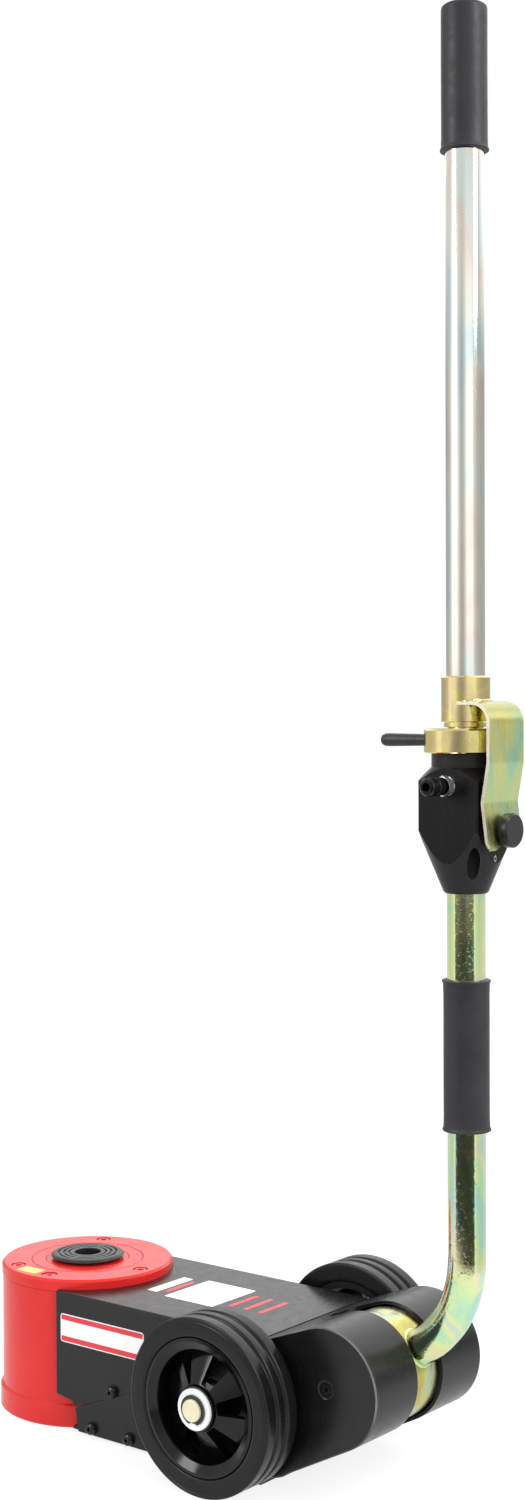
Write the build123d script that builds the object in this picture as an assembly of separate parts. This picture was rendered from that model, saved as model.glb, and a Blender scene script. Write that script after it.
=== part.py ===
from build123d import *
import math
import os

os.makedirs("parts", exist_ok=True)

# Two-stage air-hydraulic truck jack on two wheels, with an upright control handle.
# Millimetres. Origin: floor level on the lifting ram's axis. +X towards the ram end,
# +Y towards the jack's left side, +Z up.

FIT = 0.05            # radial running clearance of sliding and turning fits
SNUG = 0.02           # radial play of pieces that are screwed or pinned together

# Lifting cylinder
FLANGE_R = 88.0
FLANGE_H = 23.0
BODY_R = 85.4
BODY_TOP = 133.0
SHELL_IN_R = 80.0
TOP_RING_Z = 113.0
TUBE_OUT_R = 66.0
TUBE_IN_R = 61.0
TUBE_FLOOR_Z = 12.0
COVER_R = 86.1
COVER_TOP = 144.0
GLAND_Z = 119.0
COVER_SCREW_R = 72.0
COVER_SCREW_ANGLES = (60.0, 180.0, 300.0)
FILLER_R = 70.0
FILLER_ANGLE = 101.0
FILLER_SHANK_R = 3.8

# Rams and saddle
RAM1_R = 56.0
RAM1_IN_R = 46.5
RAM1_BOTTOM = 14.0
RAM1_PISTON_H = 18.0
RAM1_TUBE_TOP = 131.0
RAM2_R = 41.8
RAM2_BOTTOM = 22.0
RAM2_PISTON_H = 16.0
RAM2_TUBE_TOP = 131.0
RAM2_HOLLOW_R = 18.0
SADDLE_R = 36.6
SADDLE_FOOT_R = 31.0
SADDLE_TOP = 150.0
SADDLE_BORE_R = 13.3
SADDLE_BORE_FLOOR = 128.0

# Chassis
CHASSIS_HALF = 82.7
SHEET = 3.0
CHASSIS_TOP = 134.9
CHASSIS_FRONT = -36.0
CHASSIS_REAR = -290.0
TRAY_Z = 3.0
SEAM_FRONT = (-60.0, 25.0)
SEAM_BEND = (-160.0, 65.0)
SEAM_GAP = 0.4
FRAME_T = 8.6
FRAME_OUT = 79.6
SIDE_SCREWS = ((-83.0, 9.8), (-131.0, 9.8), (-110.0, 50.5))

# Rear housing and handle drum
DRUM_X = -363.3
DRUM_Z = 103.7
HOUSING_R = 54.4
HOUSING_FRONT = -290.6
HOUSING_HALF = 79.7
END_COVER_T = 3.0
SLOT_HALF = 20.0
DRUM_R = 50.0
DRUM_HALF = 18.0
SHAFT_R = 15.0

# Wheels
AXLE_X = -260.0
AXLE_Z = 80.0
AXLE_R = 10.0
AXLE_HALF = 144.6
WHEEL_R = 80.0
WHEEL_IN = 92.6
WHEEL_OUT = 135.3
RIM_R = 61.7
BEARING_R = 14.0
SPOKES = 6
WEB_OUT_Y = 116.5
WINDOW_IN = 22.0
WINDOW_OUT = 50.2
WINDOW_HALF = math.radians(14.0)

# Air pump inside the chassis
PUMP_X = -190.0
BLOCK_TOP = 45.0
AIR_R = 50.0
AIR_IN_R = 47.0
AIR_TOP = 125.0
PLUNGER_R = 8.0
PLUNGER_END = 43.0
PLUNGER_BORE_END = 12.0

# Handle
HANDLE_X = -456.5
PIPE_R = 16.9
PIPE_IN_R = 13.9
BEND_Z = 216.0
BEND_R = 99.0
BEND_DEG = 58.8
GRIP_R = 20.4
LOWER_GRIP_Z = (329.6, 462.4)
TOP_GRIP_Z = (1181.4, 1308.8)
PIPE_END_Z = TOP_GRIP_Z[1] - 7.0
BLOCK_HALF = 30.5
BLOCK_CORNER_R = 42.0
BLOCK_Z = 538.0
NECK_R = 30.0
NECK_Z = 660.0
RING_R = 36.5
RING_Z = (660.3, 681.3)
SPIGOT_R = 15.0
COLLAR_R = 21.25
COLLAR_Z = (687.0, 727.0)
INLET_Z = 632.0
KNOB_Z = 594.0
KNOB_R = 15.0
STRAP_T = 3.0
STRAP_HALF = 27.6


def turned(points, at=(0.0, 0.0)):
    """Solid of revolution about a vertical axis, from (radius, z) points."""
    face = Plane.XZ * make_face(Polyline(*points, close=True))
    return Pos(at[0], at[1], 0) * revolve(face, Axis.Z)


def ring(r_out, r_in, z0, z1, at=(0.0, 0.0)):
    """Upright tube between two heights."""
    return turned([(r_in, z0), (r_out, z0), (r_out, z1), (r_in, z1)], at)


def rod(radius, start, direction, length):
    """Round bar from a start point along a direction."""
    up = (Align.CENTER, Align.CENTER, Align.MIN)
    return Plane(origin=start, z_dir=direction) * Cylinder(radius, length, align=up)


def across(points, x, z):
    """Solid of revolution about an axis along +Y through (x, z), from (radius, y) points."""
    return Pos(x, 0, z) * Rot(-90, 0, 0) * turned(points)


def block(x0, x1, y0, y1, z0, z1):
    """Box between two corners."""
    middle = Pos((x0 + x1) / 2, (y0 + y1) / 2, (z0 + z1) / 2)
    return middle * Box(x1 - x0, y1 - y0, z1 - z0)


def plate_xz(points, y0, y1):
    """Flat plate with an outline in X and Z, between two Y positions."""
    face = Plane.XZ * make_face(Polyline(*points, close=True))
    return Pos(0, y1, 0) * extrude(face, amount=y1 - y0)


def both_sides(solid):
    """The solid and its mirror image across the jack's middle plane."""
    return [solid, mirror(solid, about=Plane.XZ)]


def polar(radius, degrees):
    """Point on a circle about the lifting axis."""
    angle = math.radians(degrees)
    return radius * math.cos(angle), radius * math.sin(angle)


def tangent_point(point, side):
    """Where a line from a point in X and Z touches the housing's round back."""
    dx = point[0] - DRUM_X
    dz = point[1] - DRUM_Z
    turn = math.acos(HOUSING_R / math.hypot(dx, dz))
    angle = math.atan2(dz, dx) + side * turn
    return DRUM_X + HOUSING_R * math.cos(angle), DRUM_Z + HOUSING_R * math.sin(angle)


def save(name, *solids):
    """Write one node's STEP file."""
    shape = solids[0] if len(solids) == 1 else Compound(children=list(solids))
    export_step(shape, f"parts/{name}.step")


# ---------------------------------------------------------------- lifting cylinder

base_flange = turned([
    (0, 0), (FLANGE_R - 1.5, 0), (FLANGE_R, 1.5), (FLANGE_R, FLANGE_H - 2), (FLANGE_R - 2, FLANGE_H),
    (TUBE_OUT_R + SNUG, FLANGE_H), (TUBE_OUT_R + SNUG, TUBE_FLOOR_Z), (0, TUBE_FLOOR_Z),
])
save("base_flange", base_flange)

cylinder_body = turned([
    (SHELL_IN_R, FLANGE_H), (BODY_R, FLANGE_H), (BODY_R, BODY_TOP - 1), (BODY_R - 1, BODY_TOP),
    (TUBE_OUT_R + SNUG, BODY_TOP), (TUBE_OUT_R + SNUG, TOP_RING_Z), (SHELL_IN_R, TOP_RING_Z),
])
for angle in COVER_SCREW_ANGLES:
    cylinder_body -= rod(4.0 + SNUG, (*polar(COVER_SCREW_R, angle), BODY_TOP + 1), (0, 0, -1), 17)
filler_at = polar(FILLER_R, FILLER_ANGLE)
cylinder_body -= rod(FILLER_SHANK_R + SNUG, (*filler_at, BODY_TOP + 1), (0, 0, -1), 22)
save("cylinder_body", cylinder_body)

pressure_tube = ring(TUBE_OUT_R, TUBE_IN_R, TUBE_FLOOR_Z, BODY_TOP - 0.2)
save("pressure_tube", pressure_tube)

seal_z = (124.0, 130.0)
top_cover = turned([
    (RAM1_R + FIT, GLAND_Z), (TUBE_IN_R - SNUG, GLAND_Z), (TUBE_IN_R - SNUG, BODY_TOP),
    (COVER_R, BODY_TOP), (COVER_R, COVER_TOP - 2.2), (COVER_R - 2.2, COVER_TOP),
    (RAM1_R + 0.9, COVER_TOP), (RAM1_R + FIT, COVER_TOP - 0.9),
])
top_cover -= ring(RAM1_R + 3, RAM1_R - 1, *seal_z)
for angle in COVER_SCREW_ANGLES:
    centre = polar(COVER_SCREW_R, angle)
    top_cover -= rod(7.5, (*centre, COVER_TOP - 8.6), (0, 0, 1), 20)
    top_cover -= rod(4.4, (*centre, BODY_TOP - 1), (0, 0, 1), 20)
top_cover -= rod(8.2, (*filler_at, COVER_TOP - 5), (0, 0, 1), 20)
top_cover -= rod(FILLER_SHANK_R + SNUG, (*filler_at, BODY_TOP - 1), (0, 0, 1), 20)
save("top_cover", top_cover)

gland_seal = ring(RAM1_R + 3, RAM1_R + 0.02, seal_z[0] + 0.2, seal_z[1] - 0.2)
save("gland_seal", gland_seal)

cover_screws = []
for angle in COVER_SCREW_ANGLES:
    centre = polar(COVER_SCREW_R, angle)
    head_z = COVER_TOP - 8.6
    screw = turned([(0, head_z - 18), (4, head_z - 18), (4, head_z), (6.5, head_z), (6.5, head_z + 7.2),
                    (5.7, head_z + 8), (0, head_z + 8)], centre)
    socket = extrude(Pos(*centre, head_z + 4) * RegularPolygon(3.5, 6), amount=10)
    cover_screws.append(screw - socket)
save("cover_screws", *cover_screws)

filler_plug = turned([
    (0, 122), (FILLER_SHANK_R, 122), (FILLER_SHANK_R, 139), (7.6, 139), (7.6, 142.2), (6.8, 143), (0, 143),
], filler_at)
filler_plug -= extrude(Pos(*filler_at, 138.5) * RegularPolygon(3.0, 6), amount=10)
save("filler_plug", filler_plug)

# ---------------------------------------------------------------- rams and saddle

ram1_seal_z = (RAM1_BOTTOM + 6, RAM1_BOTTOM + 12)
ram_1 = turned([
    (0, RAM1_BOTTOM), (TUBE_IN_R - FIT, RAM1_BOTTOM), (TUBE_IN_R - FIT, RAM1_BOTTOM + RAM1_PISTON_H),
    (RAM1_R, RAM1_BOTTOM + RAM1_PISTON_H), (RAM1_R, RAM1_TUBE_TOP), (RAM1_IN_R, RAM1_TUBE_TOP),
    (RAM1_IN_R, RAM2_BOTTOM - 1), (0, RAM2_BOTTOM - 1),
])
ram_1 -= ring(TUBE_IN_R + 1, TUBE_IN_R - 4, *ram1_seal_z)
ram_1 -= rod(4, (0, 0, RAM1_BOTTOM - 1), (0, 0, 1), 12)
save("ram_1", ram_1)

ram_1_seal = ring(TUBE_IN_R - 0.02, TUBE_IN_R - 4, ram1_seal_z[0] + 0.2, ram1_seal_z[1] - 0.2)
save("ram_1_seal", ram_1_seal)

ram_1_head = turned([
    (RAM2_R + FIT, RAM1_TUBE_TOP), (RAM1_R, RAM1_TUBE_TOP), (RAM1_R, COVER_TOP - 0.8),
    (RAM1_R - 0.8, COVER_TOP), (RAM2_R + 0.6, COVER_TOP), (RAM2_R + FIT, COVER_TOP - 0.6),
])
save("ram_1_head", ram_1_head)

ram2_seal_z = (RAM2_BOTTOM + 5, RAM2_BOTTOM + 11)
ram_2 = turned([
    (0, RAM2_BOTTOM), (RAM1_IN_R - FIT, RAM2_BOTTOM), (RAM1_IN_R - FIT, RAM2_BOTTOM + RAM2_PISTON_H),
    (RAM2_R, RAM2_BOTTOM + RAM2_PISTON_H), (RAM2_R, RAM2_TUBE_TOP), (RAM2_HOLLOW_R, RAM2_TUBE_TOP),
    (RAM2_HOLLOW_R, RAM2_BOTTOM + 10), (0, RAM2_BOTTOM + 10),
])
ram_2 -= ring(RAM1_IN_R + 1, RAM1_IN_R - 4, *ram2_seal_z)
save("ram_2", ram_2)

ram_2_seal = ring(RAM1_IN_R - 0.02, RAM1_IN_R - 4, ram2_seal_z[0] + 0.2, ram2_seal_z[1] - 0.2)
save("ram_2_seal", ram_2_seal)

ram_2_head = turned([
    (RAM2_HOLLOW_R, RAM2_TUBE_TOP), (RAM2_R, RAM2_TUBE_TOP), (RAM2_R, COVER_TOP - 0.6),
    (RAM2_R - 0.6, COVER_TOP), (RAM2_HOLLOW_R, COVER_TOP),
])
save("ram_2_head", ram_2_head)

spigot_r = RAM2_HOLLOW_R - SNUG
saddle = turned([
    (0, SADDLE_BORE_FLOOR - 4), (spigot_r, SADDLE_BORE_FLOOR - 4), (spigot_r, COVER_TOP),
    (SADDLE_FOOT_R, COVER_TOP), (SADDLE_R, SADDLE_TOP - 2.8), (SADDLE_R, SADDLE_TOP - 2.2),
    (SADDLE_R - 1.6, SADDLE_TOP - 0.7), (SADDLE_R - 3.6, SADDLE_TOP), (SADDLE_BORE_R + 0.7, SADDLE_TOP),
    (SADDLE_BORE_R, SADDLE_TOP - 0.7), (SADDLE_BORE_R, SADDLE_BORE_FLOOR), (0, SADDLE_BORE_FLOOR),
])
for middle_r in (18.8, 24.0, 29.2):
    saddle -= turned([
        (middle_r - 1.2, SADDLE_TOP + 0.1), (middle_r + 1.2, SADDLE_TOP + 0.1),
        (middle_r + 0.6, SADDLE_TOP - 1.5), (middle_r - 0.6, SADDLE_TOP - 1.5),
    ])
save("saddle", saddle)

# ---------------------------------------------------------------- chassis

seam_rear_z = SEAM_BEND[1]
half_gap = SEAM_GAP / 2
cover_side = [
    (CHASSIS_FRONT, CHASSIS_TOP - 0.1), (CHASSIS_FRONT, 34), (-57, 31.4), (-59.2, SEAM_FRONT[1] + 1),
    (SEAM_BEND[0], seam_rear_z + half_gap), (CHASSIS_REAR, seam_rear_z + half_gap),
    (CHASSIS_REAR, CHASSIS_TOP - 0.1),
]
tray_side = [
    (SEAM_FRONT[0] - 0.6, SEAM_FRONT[1]), (-62, 20), (-64, 7), (-66, TRAY_Z), (CHASSIS_REAR, TRAY_Z),
    (CHASSIS_REAR, seam_rear_z - half_gap), (SEAM_BEND[0], seam_rear_z - half_gap),
]
axle_hole = rod(AXLE_R + SNUG, (AXLE_X, -100, AXLE_Z), (0, 1, 0), 200)
screw_holes = []
for x, z in SIDE_SCREWS:
    screw_holes.append(rod(2.5 + SNUG, (x, -CHASSIS_HALF - 5, z), (0, 1, 0), 2 * CHASSIS_HALF + 10))

cover_under = CHASSIS_TOP - SHEET
chassis_cover = block(CHASSIS_REAR, CHASSIS_FRONT, -CHASSIS_HALF, CHASSIS_HALF, cover_under, CHASSIS_TOP)
for side in both_sides(plate_xz(cover_side, CHASSIS_HALF - SHEET, CHASSIS_HALF)):
    chassis_cover += side
long_edges = chassis_cover.edges().filter_by(Axis.X)
top_edges = long_edges.filter_by_position(Axis.Z, CHASSIS_TOP - 0.01, CHASSIS_TOP + 0.01)
chassis_cover = fillet(top_edges, 2.4)
chassis_cover -= rod(COVER_R + 0.5, (0, 0, 10), (0, 0, 1), 150)
chassis_cover -= axle_hole
for hole in screw_holes:
    chassis_cover -= hole
save("chassis_cover", chassis_cover)

bottom_tray = block(CHASSIS_REAR, -55, -CHASSIS_HALF, CHASSIS_HALF, TRAY_Z, TRAY_Z + SHEET)
for side in both_sides(plate_xz(tray_side, CHASSIS_HALF - SHEET, CHASSIS_HALF)):
    bottom_tray += side
bottom_tray -= block(-64.6, -20, -100, -CHASSIS_HALF + SHEET, 0, 6.5)
bottom_tray -= block(-64.6, -20, CHASSIS_HALF - SHEET, 100, 0, 6.5)
bottom_tray -= rod(FLANGE_R + 0.5, (0, 0, 0), (0, 0, 1), 60)
for hole in screw_holes:
    bottom_tray -= hole
save("bottom_tray", bottom_tray)

frame_outline = [(-50, 128), (-50, 36), (-72, 30), (-72, 6.2), (-286, 6.2), (-286, 128)]
frame_plate = plate_xz(frame_outline, FRAME_OUT - FRAME_T, FRAME_OUT)
frame_plate -= rod(BODY_R + SNUG, (0, 0, 0), (0, 0, 1), 150)
frame_plate -= axle_hole
for hole in screw_holes:
    frame_plate -= hole
frame_left, frame_right = both_sides(frame_plate)
save("frame_plate_left", frame_left)
save("frame_plate_right", frame_right)

side_screws = []
for x, z in SIDE_SCREWS:
    shank_length = CHASSIS_HALF - FRAME_OUT + FRAME_T - 1
    shank = rod(2.5, (x, CHASSIS_HALF - shank_length, z), (0, 1, 0), shank_length)
    head = across([(0, 0), (6.0, 0), (6.0, 2.2), (5.2, 4.2), (3.6, 5.2), (0, 5.2)], x, z)
    screw = shank + Pos(0, CHASSIS_HALF, 0) * head
    socket_plane = Plane(origin=(x, CHASSIS_HALF + 2.4, z), z_dir=(0, 1, 0))
    screw -= extrude(socket_plane * RegularPolygon(2.1, 6), amount=6)
    side_screws += both_sides(screw)
save("side_screws", *side_screws)

# ---------------------------------------------------------------- rear housing


def housing_face(inset):
    """Housing outline in X and Z, moved inwards by an inset."""
    seam_top = (HOUSING_FRONT, 134.4)
    low_corner = (-323.0, 21.2)
    top_touch = tangent_point(seam_top, 1)
    low_touch = tangent_point(low_corner, -1)
    outline = [
        Line(seam_top, top_touch),
        ThreePointArc(top_touch, (DRUM_X - HOUSING_R, DRUM_Z), low_touch),
        Polyline(low_touch, low_corner, (-314, 15.5), (-306, 12.6), (HOUSING_FRONT, 10), seam_top),
    ]
    face = make_face(outline)
    return offset(face, -inset) if inset else face


def housing_solid(inset, half_width):
    """Housing outline extruded to both sides of the middle plane."""
    face = Plane.XZ * housing_face(inset)
    return extrude(face, amount=half_width, both=True)


rear_housing = housing_solid(0, HOUSING_HALF) - housing_solid(SHEET, HOUSING_HALF + 1)
rear_housing -= block(HOUSING_FRONT - 4, HOUSING_FRONT + 1, -90, 90, 13.4, 131.2)
slot_front_x = -331.0
slot_outline = [
    (slot_front_x, 175), (-435, 175), (-435, 20), (-373, 20), (-373, 60), (DRUM_X, DRUM_Z),
    (slot_front_x, 130),
]
rear_housing -= plate_xz(slot_outline, -SLOT_HALF, SLOT_HALF)
rear_housing -= rod(SLOT_HALF, (slot_front_x, 0, 125), (0, 0, 1), 50)
save("rear_housing", rear_housing)

end_cover = extrude(Plane.XZ * housing_face(0), amount=END_COVER_T)
end_cover = Pos(0, HOUSING_HALF + END_COVER_T, 0) * end_cover
outer_edges = end_cover.faces().sort_by(Axis.Y)[-1].edges()
end_cover = chamfer(outer_edges, 1.2)
cone_y = HOUSING_HALF + END_COVER_T
end_cover -= across([
    (0, cone_y - 12), (4.2, cone_y - 12), (4.2, cone_y - 3), (8.6, cone_y + 0.01), (0, cone_y + 0.01),
], DRUM_X, DRUM_Z)
cover_left, cover_right = both_sides(end_cover)
save("end_cover_left", cover_left)
save("end_cover_right", cover_right)

cone_screw = across([
    (0, cone_y - 20), (4, cone_y - 20), (4, cone_y - 3.1), (7.9, cone_y - 0.3), (0, cone_y - 0.3),
], DRUM_X, DRUM_Z)
hex_plane = Plane(origin=(DRUM_X, cone_y - 3, DRUM_Z), z_dir=(0, 1, 0))
cone_screw -= extrude(hex_plane * RegularPolygon(3.0, 6), amount=6)
save("end_cover_screws", *both_sides(cone_screw))

drum_shaft = rod(SHAFT_R, (DRUM_X, -HOUSING_HALF + 0.1, DRUM_Z), (0, 1, 0), 2 * HOUSING_HALF - 0.2)
drum_shaft -= rod(4.0 + SNUG, (DRUM_X, -100, DRUM_Z), (0, 1, 0), 48)
drum_shaft -= rod(4.0 + SNUG, (DRUM_X, 52, DRUM_Z), (0, 1, 0), 48)
save("drum_shaft", drum_shaft)

drum_hub = across([
    (SHAFT_R + FIT, -29.3), (26, -29.3), (26, -24), (46, -24), (46, -DRUM_HALF), (DRUM_R - 1, -DRUM_HALF),
    (DRUM_R, 1 - DRUM_HALF), (DRUM_R, DRUM_HALF - 1), (DRUM_R - 1, DRUM_HALF), (46, DRUM_HALF),
    (46, 24), (26, 24), (26, 29.3), (SHAFT_R + FIT, 29.3),
], DRUM_X, DRUM_Z)
save("drum_hub", drum_hub)

friction_pad = across([(27, 24.4), (44, 24.4), (44, 29.4), (27, 29.4)], DRUM_X, DRUM_Z)
save("friction_pads", *both_sides(friction_pad))

brake_carrier = across([(SHAFT_R + SNUG, 29.6), (47, 29.6), (47, 35), (22, 35), (22, HOUSING_HALF - 0.3),
                        (SHAFT_R + SNUG, HOUSING_HALF - 0.3)], DRUM_X, DRUM_Z)
save("brake_carriers", *both_sides(brake_carrier))

# ---------------------------------------------------------------- wheels and axle

axle = across([
    (0, -AXLE_HALF), (AXLE_R - 1, -AXLE_HALF), (AXLE_R, 1 - AXLE_HALF), (AXLE_R, -141.6), (8.6, -141.6),
    (8.6, -140.1), (AXLE_R, -140.1), (AXLE_R, 140.1), (8.6, 140.1), (8.6, 141.6), (AXLE_R, 141.6),
    (AXLE_R, AXLE_HALF - 1), (AXLE_R - 1, AXLE_HALF), (0, AXLE_HALF),
], AXLE_X, AXLE_Z)
save("axle", axle)

axle_spacer = across([(AXLE_R + SNUG, 82.9), (16, 82.9), (16, 93.6), (AXLE_R + SNUG, 93.6)], AXLE_X, AXLE_Z)
save("axle_spacers", *both_sides(axle_spacer))

washer = across([(12.4, 137.2), (18.5, 137.2), (18.5, 139.6), (18, 140), (12.4, 140)], AXLE_X, AXLE_Z)
save("wheel_washers", *both_sides(washer))

clip = across([(8.65, 140.15), (13.4, 140.15), (13.4, 141.5), (8.65, 141.5)], AXLE_X, AXLE_Z)
clip -= block(AXLE_X - 4, AXLE_X + 4, 139, 143, AXLE_Z - 20, AXLE_Z)
save("retaining_rings", *both_sides(clip))

tyre = across([
    (RIM_R, WHEEL_IN + 1), (68, WHEEL_IN), (76.6, WHEEL_IN + 0.7), (79.2, WHEEL_IN + 2.2),
    (WHEEL_R, WHEEL_IN + 4.6), (WHEEL_R, WHEEL_OUT - 4.6), (79.2, WHEEL_OUT - 2.2),
    (76.6, WHEEL_OUT - 0.7), (68, WHEEL_OUT), (RIM_R, WHEEL_OUT - 1),
], AXLE_X, AXLE_Z)
tyre_left, tyre_right = both_sides(tyre)
save("tyre_left", tyre_left)
save("tyre_right", tyre_right)


def wheel_rim(first_window):
    """Rim with a sloping web, its windows counted from an angle above the +X direction."""
    rim = across([
        (BEARING_R + SNUG, 94.6), (20, 94.6), (20.6, 126), (51, 110), (55.5, 94), (RIM_R, 94),
        (RIM_R, 134.4), (58.6, 134.8), (57.2, 134), (51.2, 130.6), (50.6, 129.4), (52, WEB_OUT_Y),
        (21, 133.8), (20.2, 137), (BEARING_R + SNUG, 137),
    ], AXLE_X, AXLE_Z)
    for i in range(SPOKES):
        middle = math.radians(first_window + i * 360 / SPOKES)
        corners = []
        for radius, side in ((WINDOW_IN, -1), (60, -1), (60, 1), (WINDOW_IN, 1)):
            angle = middle + side * WINDOW_HALF
            corners.append((AXLE_X + radius * math.cos(angle), AXLE_Z + radius * math.sin(angle)))
        sector = plate_xz(corners, 105, 140)
        rim -= sector & rod(WINDOW_OUT, (AXLE_X, 104, AXLE_Z), (0, 1, 0), 40)
    return rim


rim_left = wheel_rim(112.0)
rim_right = mirror(wheel_rim(106.0), about=Plane.XZ)
save("rim_left", rim_left)
save("rim_right", rim_right)

bearings = []
for start in (95.0, 123.0):
    bearings.append(across([(AXLE_R + FIT, start), (BEARING_R, start), (BEARING_R, start + 13),
                            (AXLE_R + FIT, start + 13)], AXLE_X, AXLE_Z))
save("bearings_left", *bearings)
save("bearings_right", *[mirror(bearing, about=Plane.XZ) for bearing in bearings])

# ---------------------------------------------------------------- air pump

pump_block = block(-242, -70, -42, 42, 8, BLOCK_TOP) - rod(FLANGE_R + SNUG, (0, 0, 0), (0, 0, 1), 60)
pump_block -= rod(PLUNGER_R + FIT, (PUMP_X, 0, PLUNGER_BORE_END), (0, 0, 1), 60)
save("pump_block", pump_block)

pump_at = (PUMP_X, 0.0)
air_cylinder = ring(AIR_R, AIR_IN_R, BLOCK_TOP, AIR_TOP - 3, pump_at)
save("air_cylinder", air_cylinder)

air_cylinder_cap = turned([(0, AIR_TOP - 5), (AIR_IN_R - SNUG, AIR_TOP - 5), (AIR_IN_R - SNUG, AIR_TOP - 3),
                           (AIR_R + 2, AIR_TOP - 3), (AIR_R + 2, AIR_TOP), (9, AIR_TOP), (9, AIR_TOP + 6),
                           (0, AIR_TOP + 6)], pump_at)
air_cylinder_cap -= rod(4, (PUMP_X, 0, 100), (0, 0, 1), 50)
save("air_cylinder_cap", air_cylinder_cap)

air_piston = turned(
    [(PLUNGER_R, 106), (AIR_IN_R - 0.3, 106), (AIR_IN_R - 0.3, 118), (PLUNGER_R, 118)], pump_at
)
save("air_piston", air_piston)

pump_plunger = rod(PLUNGER_R, (PUMP_X, 0, PLUNGER_END), (0, 0, 1), 118 - PLUNGER_END)
save("pump_plunger", pump_plunger)

coil_r = 26.0
wire_r = 2.2
coil = Helix(pitch=11.0, height=55.0, radius=coil_r)
section = Plane(origin=coil @ 0, z_dir=coil % 0) * Circle(wire_r)
piston_spring = Pos(PUMP_X, 0, BLOCK_TOP + 3) * sweep(section, path=coil)
save("piston_spring", piston_spring)

# ---------------------------------------------------------------- handle: lower tube

turn_rad = math.radians(BEND_DEG)
bend_end = (HANDLE_X + BEND_R * (1 - math.cos(turn_rad)), BEND_Z - BEND_R * math.sin(turn_rad))
run_in = 26.0
drum_end = (bend_end[0] + run_in * math.sin(turn_rad), bend_end[1] - run_in * math.cos(turn_rad))
bend_middle = (HANDLE_X + BEND_R * (1 - math.cos(turn_rad / 2)), BEND_Z - BEND_R * math.sin(turn_rad / 2))
tube_top = 583.0
tube_path = Plane.XZ * Wire([
    Edge.make_line((HANDLE_X, tube_top), (HANDLE_X, BEND_Z)),
    Edge.make_three_point_arc((HANDLE_X, BEND_Z), bend_middle, bend_end),
    Edge.make_line(bend_end, drum_end),
])
tube_section = Plane(origin=(HANDLE_X, 0, tube_top), z_dir=(0, 0, -1)) * (Circle(PIPE_R) - Circle(PIPE_IN_R))
handle_tube = sweep(tube_section, path=tube_path)
handle_tube -= rod(DRUM_R, (DRUM_X, -40, DRUM_Z), (0, 1, 0), 80)
save("handle_tube", handle_tube)

handle_at = (HANDLE_X, 0.0)
lower_grip = turned([
    (PIPE_R, LOWER_GRIP_Z[0]), (GRIP_R + 0.8, LOWER_GRIP_Z[0]), (GRIP_R + 0.8, LOWER_GRIP_Z[0] + 3),
    (GRIP_R, LOWER_GRIP_Z[0] + 4), (GRIP_R, LOWER_GRIP_Z[1] - 4), (GRIP_R + 0.8, LOWER_GRIP_Z[1] - 3),
    (GRIP_R + 0.8, LOWER_GRIP_Z[1]), (PIPE_R, LOWER_GRIP_Z[1]),
], handle_at)
save("lower_grip", lower_grip)

# ---------------------------------------------------------------- handle: control block

control_block = turned([
    (0, BLOCK_Z), (18.6, BLOCK_Z), (20, BLOCK_Z + 1.6), (BLOCK_CORNER_R, 592.6), (BLOCK_CORNER_R, 636),
    (NECK_R, 648), (NECK_R, NECK_Z), (0, NECK_Z),
], handle_at)
control_block &= block(HANDLE_X - BLOCK_HALF, HANDLE_X + BLOCK_HALF, -BLOCK_HALF, BLOCK_HALF, 530, 670)
control_block -= rod(PIPE_R + SNUG, (HANDLE_X, 0, 530), (0, 0, 1), tube_top - 530 + 0.2)
control_block -= rod(SPIGOT_R + SNUG, (HANDLE_X, 0, 612), (0, 0, 1), 60)
control_block -= rod(8.5 + SNUG, (HANDLE_X, BLOCK_HALF - 11, INLET_Z), (0, 1, 0), 20)
control_block -= rod(4.0 + FIT, (HANDLE_X - 10, 0, KNOB_Z), (-1, 0, 0), 40)
diagonal = (-math.sqrt(0.5), math.sqrt(0.5), 0)
vent_centre = (HANDLE_X + 22 * diagonal[0], 22 * diagonal[1], 565)
vent_plane = Plane(origin=vent_centre, x_dir=(0, 0, 1), z_dir=diagonal)
control_block -= extrude(vent_plane * Ellipse(14.6, 5.8), amount=30)
screw_z = 569.0
control_block -= rod(3.0 + SNUG, (HANDLE_X - PIPE_R - 0.5, 0, screw_z), (-1, 0, 0), 40)
save("control_block", control_block)

vent_screen = extrude(vent_plane * Ellipse(14.5, 5.7), amount=2)
save("vent_screen", vent_screen)

tube_screw = rod(3.0, (HANDLE_X - PIPE_R - 0.6, 0, screw_z), (-1, 0, 0), 12.4)
socket_plane = Plane(origin=(HANDLE_X - 26.5, 0, screw_z), z_dir=(-1, 0, 0))
tube_screw -= extrude(socket_plane * RegularPolygon(1.7, 6), amount=6)
save("tube_screw", tube_screw)

spigot = turned([
    (8, 614), (SPIGOT_R, 614), (SPIGOT_R, 682), (19, 683), (19, 686.6), (SPIGOT_R, 686.6), (SPIGOT_R, 700),
    (8, 700),
], handle_at)
save("spigot", spigot)

coupling_body = across([
    (3.75, BLOCK_HALF - 10), (8.5, BLOCK_HALF - 10), (8.5, BLOCK_HALF + 0.05), (7.8, BLOCK_HALF + 0.05),
    (7.8, BLOCK_HALF + 8), (6.2, BLOCK_HALF + 8), (6.2, 61.6), (5.6, 62.2), (3.75, 62.2),
], HANDLE_X, INLET_Z)
hex_face = Plane(origin=(HANDLE_X, BLOCK_HALF + 0.05, INLET_Z), z_dir=(0, 1, 0)) * RegularPolygon(9.3, 6)
hex_nut = extrude(hex_face, amount=7) - rod(7, (HANDLE_X, 20, INLET_Z), (0, 1, 0), 30)
coupling_body += hex_nut
save("coupling_body", coupling_body)

coupling_sleeve = across([
    (6.2 + FIT, 42.6), (7.2, 42.6), (8.0, 43.6), (8.0, 50), (7.6, 50.6), (8.0, 51.2), (8.0, 60), (7.2, 61),
    (6.2 + FIT, 61),
], HANDLE_X, INLET_Z)
save("coupling_sleeve", coupling_sleeve)

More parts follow.
